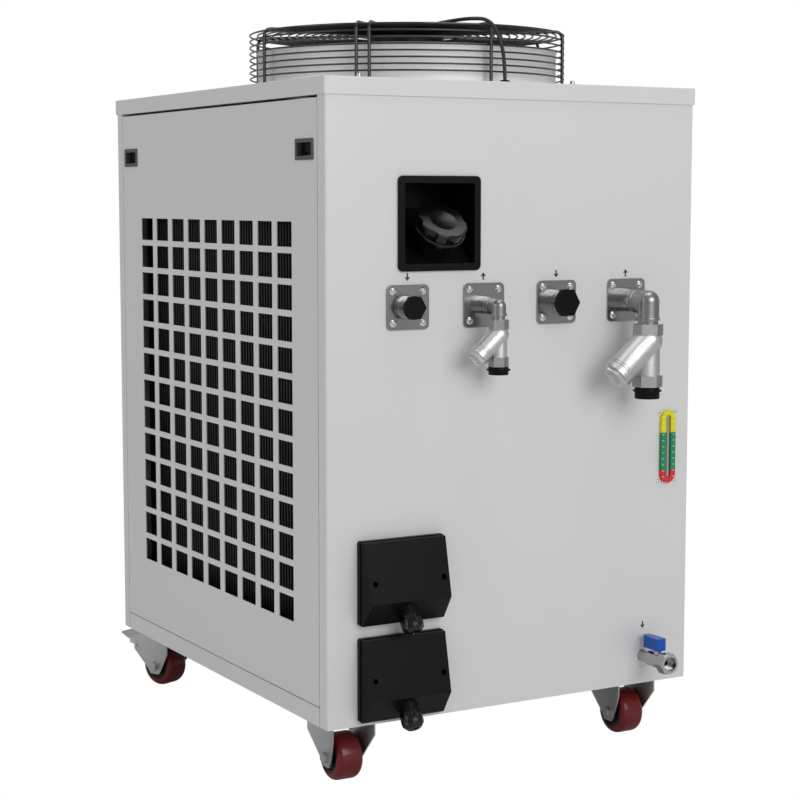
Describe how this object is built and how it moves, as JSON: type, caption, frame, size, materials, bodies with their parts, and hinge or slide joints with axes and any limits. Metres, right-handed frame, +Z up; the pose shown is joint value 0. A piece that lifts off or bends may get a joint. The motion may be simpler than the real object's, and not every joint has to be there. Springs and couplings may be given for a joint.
{
  "type": "laser chiller",
  "caption": "Air-cooled water chiller for lasers in a sheet metal cabinet on casters, with a top fan under a wire guard, pipe ports, strainers, filler and drain.",
  "frame": {"origin": "middle of the whole object's box, on the floor", "axes": "+Z up, -Y out of the side with the pipe connections, -X out of the grille side"},
  "size_m": [0.683, 0.9558, 1.194],
  "materials": {
    "cabinet_white": "light grey powder coat",
    "zinc_fastener": "zinc plated",
    "fan_ring_grey": "satin",
    "guard_black": "black gloss coat",
    "motor_black": "satin black",
    "cable_black": "matte",
    "coil_black": "black fins",
    "compressor_black": "satin black",
    "copper": "drawn copper",
    "stainless": "satin stainless",
    "tank_steel": "satin stainless",
    "pump_steel": "satin",
    "hose_rubber": "matte",
    "ebox_grey": "satin",
    "black_plastic": "fine texture",
    "cast_fitting": "cast stainless",
    "gauge_strip": "printed colour fields",
    "gauge_glass": "clear",
    "nickel_brass": "nickel plated",
    "lever_blue": "blue",
    "latch_grey": "dark grey",
    "caster_steel": "zinc plated",
    "wheel_red": "red polyurethane tread"
  },
  "bodies": {
    "cabinet": {"base_frame": "cabinet_white", "pipe_side_panel": "cabinet_white", "control_side_panel": "cabinet_white", "grille_panel": "cabinet_white", "plain_side_panel": "cabinet_white", "lid": "cabinet_white", "fan_ring": "fan_ring_grey", "fan_guard": "guard_black", "fan_motor": "motor_black", "fan_cable": "cable_black", "cable_grommet": "cable_black", "condenser_coil": "coil_black", "compressor": "compressor_black", "refrigerant_lines": "copper", "plate_heat_exchanger": "stainless", "water_tank": "tank_steel", "water_pump": "pump_steel", "water_hoses": "hose_rubber", "electrical_box": "ebox_grey", "filler_tray": "black_plastic", "filler_neck": "black_plastic", "level_gauge": "gauge_strip", "gauge_tube": "gauge_glass", "drain_valve_body": "nickel_brass", "panel_screws": "zinc_fastener", "cabinet_bolts": "zinc_fastener", "inlet_high_flange": "stainless", "inlet_high_plug": "black_plastic", "outlet_high_flange": "stainless", "inlet_low_flange": "stainless", "inlet_low_plug": "black_plastic", "outlet_low_flange": "stainless", "outlet_high_elbow": "cast_fitting", "strainer_high_body": "cast_fitting", "strainer_high_cap": "cast_fitting", "outlet_high_plug": "black_plastic", "outlet_low_elbow": "cast_fitting", "strainer_low_body": "cast_fitting", "strainer_low_cap": "cast_fitting", "outlet_low_plug": "black_plastic", "junction_cover_upper": "black_plastic", "junction_cover_lower": "black_plastic", "junction_bases": "black_plastic", "cable_glands": "black_plastic", "latch_frames": "latch_grey", "rigid_casters": "caster_steel", "swivel_plates": "caster_steel"},
    "fan_rotor": {"fan_impeller": "motor_black"},
    "filler_cap": {"filler_cap": "black_plastic"},
    "drain_lever": {"drain_lever": "lever_blue"},
    "latch_paddle_front": {"latch_paddle_front": "latch_grey"},
    "latch_paddle_back": {"latch_paddle_back": "latch_grey"},
    "wheel_front_left": {"wheel_front_left": "wheel_red"},
    "wheel_front_right": {"wheel_front_right": "wheel_red"},
    "swivel_back_left": {"swivel_fork_back_left": "caster_steel"},
    "swivel_back_right": {"swivel_fork_back_right": "caster_steel"},
    "wheel_back_left": {"wheel_back_left": "wheel_red"},
    "wheel_back_right": {"wheel_back_right": "wheel_red"},
    "pedal_back_left": {"brake_pedal_back_left": "caster_steel"},
    "pedal_back_right": {"brake_pedal_back_right": "caster_steel"}
  },
  "joints": [
    {"name": "fan_spin", "type": "hinge", "parent": "cabinet", "child": "fan_rotor", "pos_m": [0, -0.04041, 1.1175], "axis": [0, 0, 1], "continuous": true},
    {"name": "filler_cap_turn", "type": "hinge", "parent": "cabinet", "child": "filler_cap", "pos_m": [-0.1436, -0.39179, 0.86506], "axis": [0, -0.6691, 0.7431], "continuous": true},
    {"name": "drain_lever_turn", "type": "hinge", "parent": "cabinet", "child": "drain_lever", "pos_m": [0.25, -0.43441, 0.153], "axis": [0, 0, 1], "range_deg": [0, 90]},
    {"name": "latch_front_pull", "type": "hinge", "parent": "cabinet", "child": "latch_paddle_front", "pos_m": [-0.329, -0.32441, 0.988], "axis": [0, 1, 0], "range_deg": [0, 30], "stiffness_Nm_per_rad": 0.05, "springref_deg": -17.19},
    {"name": "latch_back_pull", "type": "hinge", "parent": "cabinet", "child": "latch_paddle_back", "pos_m": [-0.329, 0.37159, 0.988], "axis": [0, 1, 0], "range_deg": [0, 30], "stiffness_Nm_per_rad": 0.05, "springref_deg": -17.19},
    {"name": "wheel_front_left_spin", "type": "hinge", "parent": "cabinet", "child": "wheel_front_left", "pos_m": [-0.271, -0.30641, 0.0375], "axis": [1, 0, 0], "continuous": true},
    {"name": "wheel_front_right_spin", "type": "hinge", "parent": "cabinet", "child": "wheel_front_right", "pos_m": [0.271, -0.30641, 0.0375], "axis": [1, 0, 0], "continuous": true},
    {"name": "swivel_back_left_turn", "type": "hinge", "parent": "cabinet", "child": "swivel_back_left", "pos_m": [-0.271, 0.35359, 0.0947], "axis": [0, 0, 1], "continuous": true},
    {"name": "wheel_back_left_spin", "type": "hinge", "parent": "swivel_back_left", "child": "wheel_back_left", "pos_m": [-0.28224, 0.38141, 0.0375], "axis": [0.9272, 0.3746, 0], "continuous": true},
    {"name": "pedal_back_left_press", "type": "hinge", "parent": "swivel_back_left", "child": "pedal_back_left", "pos_m": [-0.29572, 0.41479, 0.073], "axis": [-0.9272, -0.3746, 0], "range_deg": [0, 16]},
    {"name": "swivel_back_right_turn", "type": "hinge", "parent": "cabinet", "child": "swivel_back_right", "pos_m": [0.271, 0.35359, 0.0947], "axis": [0, 0, 1], "continuous": true},
    {"name": "wheel_back_right_spin", "type": "hinge", "parent": "swivel_back_right", "child": "wheel_back_right", "pos_m": [0.28224, 0.38141, 0.0375], "axis": [0.9272, -0.3746, 0], "continuous": true},
    {"name": "pedal_back_right_press", "type": "hinge", "parent": "swivel_back_right", "child": "pedal_back_right", "pos_m": [0.29572, 0.41479, 0.073], "axis": [-0.9272, 0.3746, 0], "range_deg": [0, 16]}
  ]
}
